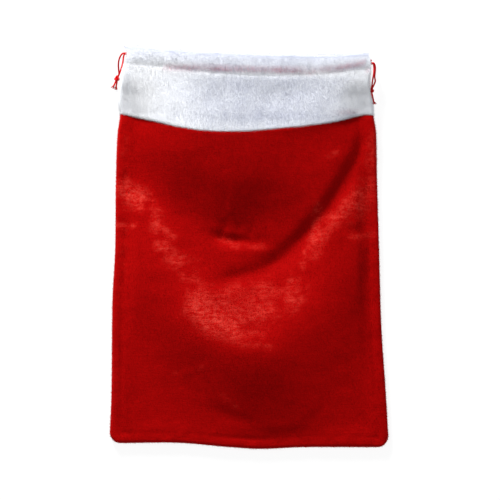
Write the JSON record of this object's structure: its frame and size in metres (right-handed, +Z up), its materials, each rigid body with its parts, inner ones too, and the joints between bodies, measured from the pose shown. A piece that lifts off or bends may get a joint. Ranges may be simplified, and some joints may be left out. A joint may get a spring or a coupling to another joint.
{
  "type": "fabric gift sack",
  "caption": "Empty plush gift sack lying flat, red body, white cuff with a cord channel, and a knotted drawcord at each top corner.",
  "frame": {"origin": "middle of the sack's footprint, on the surface it lies on", "axes": "+X across the sack to its right side seam, +Y along it towards the mouth, +Z up through the front panel"},
  "size_m": [0.4116, 0.5958, 0.039],
  "materials": {
    "red_plush": "short plush pile",
    "white_plush": "soft plush pile",
    "red_thread": "matt sewing thread",
    "white_thread": "matt sewing thread",
    "red_cord": "smooth twisted cord"
  },
  "bodies": {
    "sack": {"front_panel": "red_plush", "back_panel": "red_plush", "front_cuff": "white_plush", "back_cuff": "white_plush", "perimeter_seam_thread": "red_thread", "perimeter_overlock": "red_thread", "front_join_thread": "red_thread", "back_join_thread": "red_thread", "front_channel_stitch": "white_thread", "back_channel_stitch": "white_thread", "front_left_bar_tack": "white_thread", "front_right_bar_tack": "white_thread", "back_left_bar_tack": "white_thread", "back_right_bar_tack": "white_thread", "left_cord_far_turn": "red_cord", "right_cord_far_turn": "red_cord"},
    "left_drawcord": {"left_cord_front_run": "red_cord", "left_cord_back_run": "red_cord", "left_cord_front_strand": "red_cord", "left_cord_back_strand": "red_cord", "left_cord_knot": "red_cord", "left_cord_first_tail": "red_cord", "left_cord_second_tail": "red_cord"},
    "right_drawcord": {"right_cord_front_run": "red_cord", "right_cord_back_run": "red_cord", "right_cord_front_strand": "red_cord", "right_cord_back_strand": "red_cord", "right_cord_knot": "red_cord", "right_cord_first_tail": "red_cord", "right_cord_second_tail": "red_cord"}
  },
  "joints": [
    {"name": "left_cord_pull", "type": "slide", "parent": "sack", "child": "left_drawcord", "axis": [-0.9996, 0.0289, 0], "range_m": [0, 0.3]},
    {"name": "right_cord_pull", "type": "slide", "parent": "sack", "child": "right_drawcord", "axis": [0.9996, -0.0289, 0], "range_m": [0, 0.3]}
  ]
}
